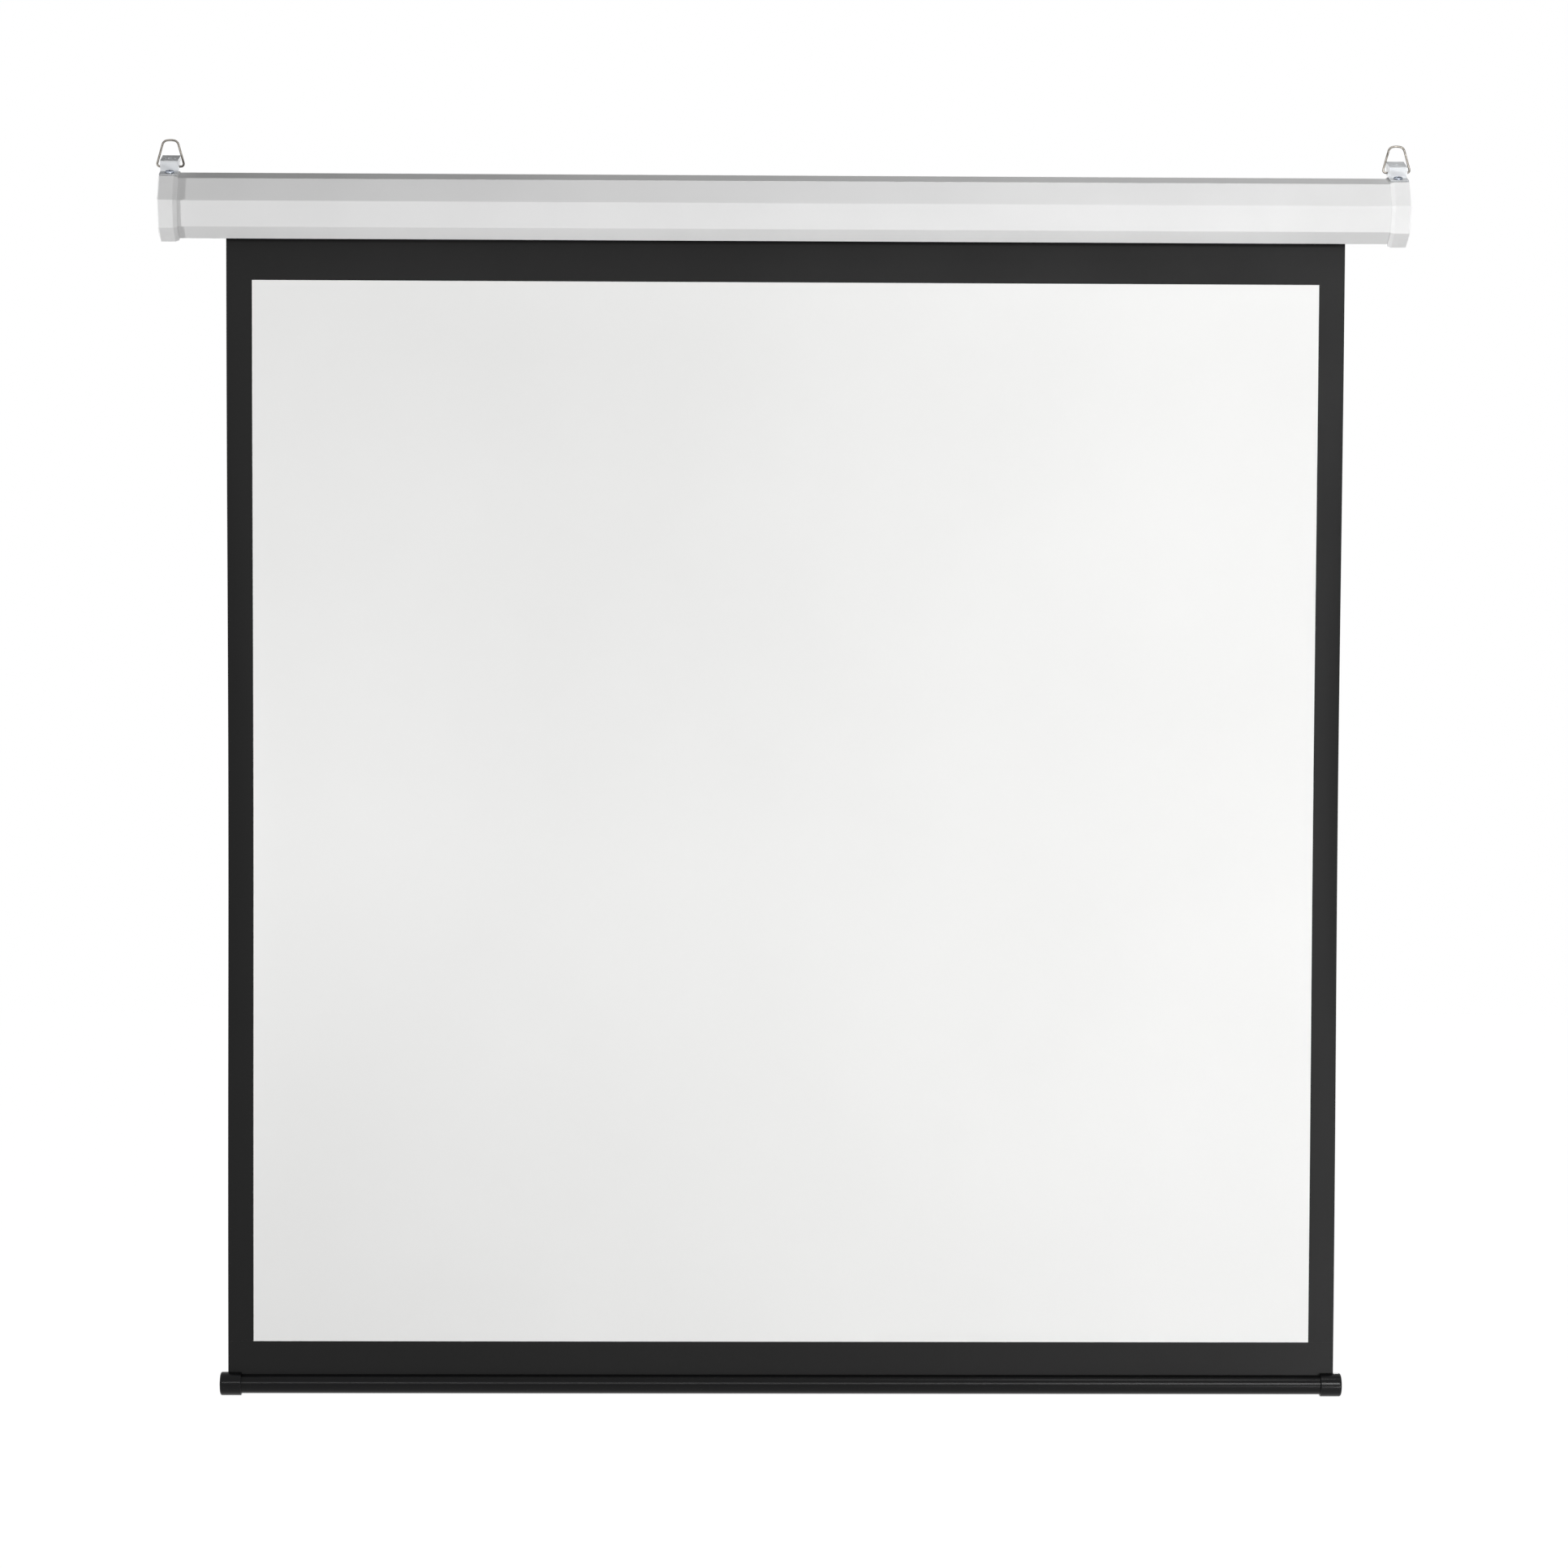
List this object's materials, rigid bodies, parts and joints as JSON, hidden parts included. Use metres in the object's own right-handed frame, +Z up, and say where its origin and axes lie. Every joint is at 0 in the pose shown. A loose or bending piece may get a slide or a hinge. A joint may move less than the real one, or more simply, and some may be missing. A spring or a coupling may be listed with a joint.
{
  "type": "projection screen",
  "caption": "Electric roll-down projection screen: faceted steel case hung by wire rings, motor-driven roller, white sheet with a black border, and a round weight bar.",
  "frame": {"origin": "hanging point, midway between the inner crowns of the two wire rings", "axes": "+X along the case towards the motor end, +Y from the front towards the wall, +Z up"},
  "size_m": [1.4642, 0.0851, 1.4769],
  "materials": {
    "case_paint": "white powder coat, satin",
    "cap_plastic": "white moulded plastic, satin",
    "bracket_paint": "pale grey-white paint, satin",
    "zinc_screws": "bright zinc plate",
    "grommet_rubber": "black rubber",
    "zinc_plate": "zinc plated sheet",
    "grey_plastic": "dark grey moulded plastic",
    "motor_steel": "plain steel",
    "black_sheet": "matt black coated cloth",
    "white_sheet": "matt white coated cloth",
    "roller_aluminium": "plain extruded",
    "black_plastic": "black moulded plastic, satin",
    "bush_nylon": "natural nylon",
    "bar_paint": "black paint, satin",
    "ring_nickel": "bright nickel plated wire"
  },
  "bodies": {
    "housing": {"case_shell": "case_paint", "end_cap_left": "cap_plastic", "end_cap_right": "cap_plastic", "hanger_bracket_left": "bracket_paint", "hanger_bracket_right": "bracket_paint", "bracket_screw_left": "zinc_screws", "bracket_screw_right": "zinc_screws", "cap_screw_left_upper": "zinc_screws", "cap_screw_left_lower": "zinc_screws", "cap_screw_right_upper": "zinc_screws", "cap_screw_right_lower": "zinc_screws", "cable_grommet": "grommet_rubber", "motor_plate": "zinc_plate", "idler_plate": "zinc_plate", "motor_head": "grey_plastic", "motor_body": "motor_steel", "idler_pin": "motor_steel", "screen_sheet": "black_sheet", "viewing_surface": "white_sheet"},
    "roller": {"roller_tube": "roller_aluminium", "motor_crown": "black_plastic", "motor_shaft": "motor_steel", "drive_wheel": "grey_plastic", "idler_plug": "grey_plastic", "idler_bush": "bush_nylon", "wound_screen": "black_sheet"},
    "bottom_bar": {"weight_bar": "bar_paint", "hem_rod": "motor_steel", "bar_cap_left": "black_plastic", "bar_cap_right": "black_plastic"},
    "ring_left": {"ring_left": "ring_nickel"},
    "ring_right": {"ring_right": "ring_nickel"}
  },
  "joints": [
    {"name": "screen_drop", "type": "slide", "parent": "housing", "child": "bottom_bar", "axis": [0, 0, 1], "range_m": [0, 1.325], "deforming": ["screen_sheet", "viewing_surface"]},
    {"name": "roller_spin", "type": "hinge", "parent": "housing", "child": "roller", "pos_m": [0, -0.0112, -0.07622], "axis": [1, 0, 0], "range_deg": [0, 3300]},
    {"name": "ring_left_swing", "type": "hinge", "parent": "housing", "child": "ring_left", "pos_m": [-0.7155, 0, -0.02941], "axis": [1, 0, 0], "range_deg": [-25, 105]},
    {"name": "ring_right_swing", "type": "hinge", "parent": "housing", "child": "ring_right", "pos_m": [0.7155, 0, -0.02941], "axis": [1, 0, 0], "range_deg": [-25, 105]}
  ],
  "couplings": [
    {"joint": "roller_spin", "follows": "screen_drop", "rad_per_m": 43.3}
  ]
}
